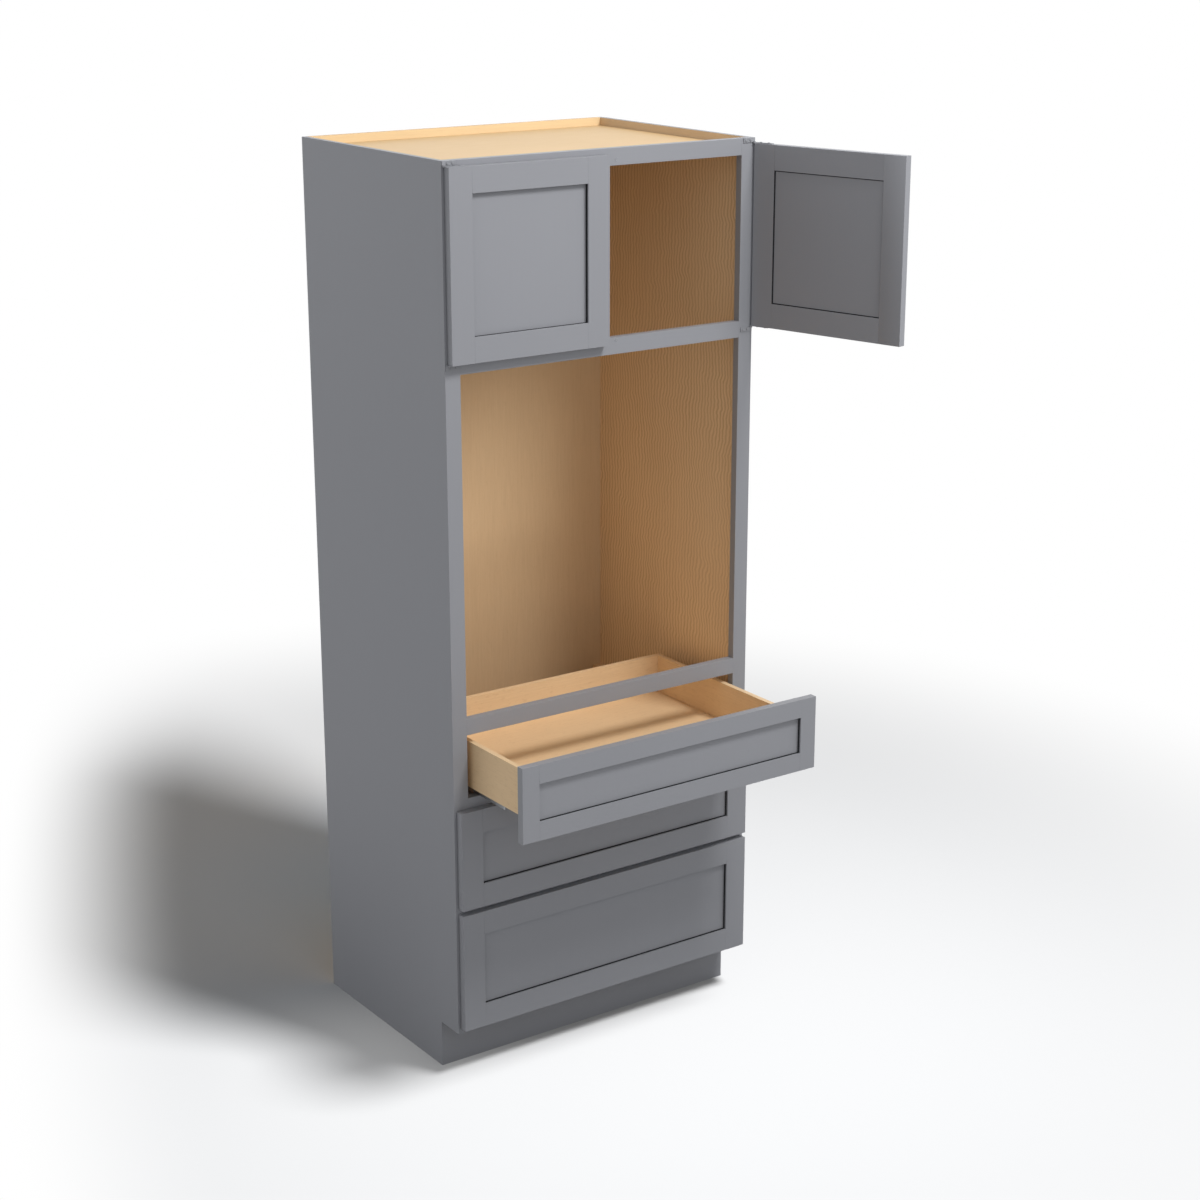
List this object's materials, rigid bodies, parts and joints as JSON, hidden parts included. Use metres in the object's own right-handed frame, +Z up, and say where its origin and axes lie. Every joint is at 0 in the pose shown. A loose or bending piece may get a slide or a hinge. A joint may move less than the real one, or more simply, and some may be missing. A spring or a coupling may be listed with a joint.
{
  "type": "tall oven housing unit",
  "caption": "Tall face-frame cabinet with cupboard doors at the top, an open space for a built-in oven in the middle, and drawers on metal slides above a toe space.",
  "frame": {"origin": "on the floor, at the middle of the cabinet's rear plane", "axes": "+Z up, +X to the right seen from the front, -Y out of the front towards the user"},
  "size_m": [0.9537, 1.0134, 2.1336],
  "materials": {
    "grey_paint": "satin grey paint over wood, smooth, with a faint brush texture",
    "maple_veneer": "clear satin lacquer over maple veneer with fine wavy grain",
    "drawer_maple": "clear satin lacquer over pale maple with fine grain",
    "zinc_steel": "bright zinc plate on folded steel",
    "painted_steel": "satin grey paint over folded steel",
    "clear_plastic": "soft clear plastic"
  },
  "bodies": {
    "cabinet": {"left_side_panel": "grey_paint", "right_side_panel": "grey_paint", "back_panel": "maple_veneer", "top_panel": "maple_veneer", "bottom_panel": "maple_veneer", "toe_kick_board": "grey_paint", "left_stile": "grey_paint", "right_stile": "grey_paint", "top_rail": "grey_paint", "cupboard_rail": "grey_paint", "oven_rail": "grey_paint", "upper_drawer_rail": "grey_paint", "lower_drawer_rail": "grey_paint", "bottom_rail": "grey_paint", "slide_cleats": "maple_veneer", "cabinet_slide_rails": "zinc_steel", "slide_screws": "zinc_steel", "frame_hinge_leaves": "painted_steel", "frame_hinge_screws": "painted_steel", "bumper_pads": "clear_plastic"},
    "left_door": {"left_door_stiles": "grey_paint", "left_door_rails": "grey_paint", "left_door_panel": "grey_paint", "left_door_hinge_leaves": "painted_steel", "left_door_hinge_screws": "painted_steel"},
    "right_door": {"right_door_stiles": "grey_paint", "right_door_rails": "grey_paint", "right_door_panel": "grey_paint", "right_door_hinge_leaves": "painted_steel", "right_door_hinge_screws": "painted_steel"},
    "top_drawer": {"top_drawer_front_stiles": "grey_paint", "top_drawer_front_rails": "grey_paint", "top_drawer_front_panel": "grey_paint", "top_drawer_box_sides": "drawer_maple", "top_drawer_box_ends": "drawer_maple", "top_drawer_box_bottom": "drawer_maple", "top_drawer_slide_rails": "zinc_steel", "top_drawer_front_screws": "zinc_steel"},
    "top_slide_middle": {"top_slide_middle_rails": "zinc_steel"},
    "middle_drawer": {"middle_drawer_front_stiles": "grey_paint", "middle_drawer_front_rails": "grey_paint", "middle_drawer_front_panel": "grey_paint", "middle_drawer_box_sides": "drawer_maple", "middle_drawer_box_ends": "drawer_maple", "middle_drawer_box_bottom": "drawer_maple", "middle_drawer_slide_rails": "zinc_steel", "middle_drawer_front_screws": "zinc_steel"},
    "middle_slide_middle": {"middle_slide_middle_rails": "zinc_steel"},
    "bottom_drawer": {"bottom_drawer_front_stiles": "grey_paint", "bottom_drawer_front_rails": "grey_paint", "bottom_drawer_front_panel": "grey_paint", "bottom_drawer_box_sides": "drawer_maple", "bottom_drawer_box_ends": "drawer_maple", "bottom_drawer_box_bottom": "drawer_maple", "bottom_drawer_slide_rails": "zinc_steel", "bottom_drawer_front_screws": "zinc_steel"},
    "bottom_slide_middle": {"bottom_slide_middle_rails": "zinc_steel"}
  },
  "joints": [
    {"name": "left_door_hinge", "type": "hinge", "parent": "cabinet", "child": "left_door", "pos_m": [-0.4146, -0.6131, 1.92405], "axis": [0, 0, -1], "range_deg": [0, 110]},
    {"name": "right_door_hinge", "type": "hinge", "parent": "cabinet", "child": "right_door", "pos_m": [0.4146, -0.6131, 1.92405], "axis": [0, 0, 1], "range_deg": [-104.5, 5.5]},
    {"name": "top_drawer_slide", "type": "slide", "parent": "cabinet", "child": "top_drawer", "axis": [0, -1, 0], "range_m": [-0.255, 0.235]},
    {"name": "middle_drawer_slide", "type": "slide", "parent": "cabinet", "child": "middle_drawer", "axis": [0, -1, 0], "range_m": [0, 0.49]},
    {"name": "bottom_drawer_slide", "type": "slide", "parent": "cabinet", "child": "bottom_drawer", "axis": [0, -1, 0], "range_m": [0, 0.49]},
    {"name": "top_middle_slide", "type": "slide", "parent": "cabinet", "child": "top_slide_middle", "axis": [0, -1, 0], "range_m": [-0.1275, 0.1175]},
    {"name": "middle_middle_slide", "type": "slide", "parent": "cabinet", "child": "middle_slide_middle", "axis": [0, -1, 0], "range_m": [0, 0.245]},
    {"name": "bottom_middle_slide", "type": "slide", "parent": "cabinet", "child": "bottom_slide_middle", "axis": [0, -1, 0], "range_m": [0, 0.245]}
  ],
  "couplings": [
    {"joint": "top_middle_slide", "follows": "top_drawer_slide", "ratio": 0.5},
    {"joint": "middle_middle_slide", "follows": "middle_drawer_slide", "ratio": 0.5},
    {"joint": "bottom_middle_slide", "follows": "bottom_drawer_slide", "ratio": 0.5}
  ]
}
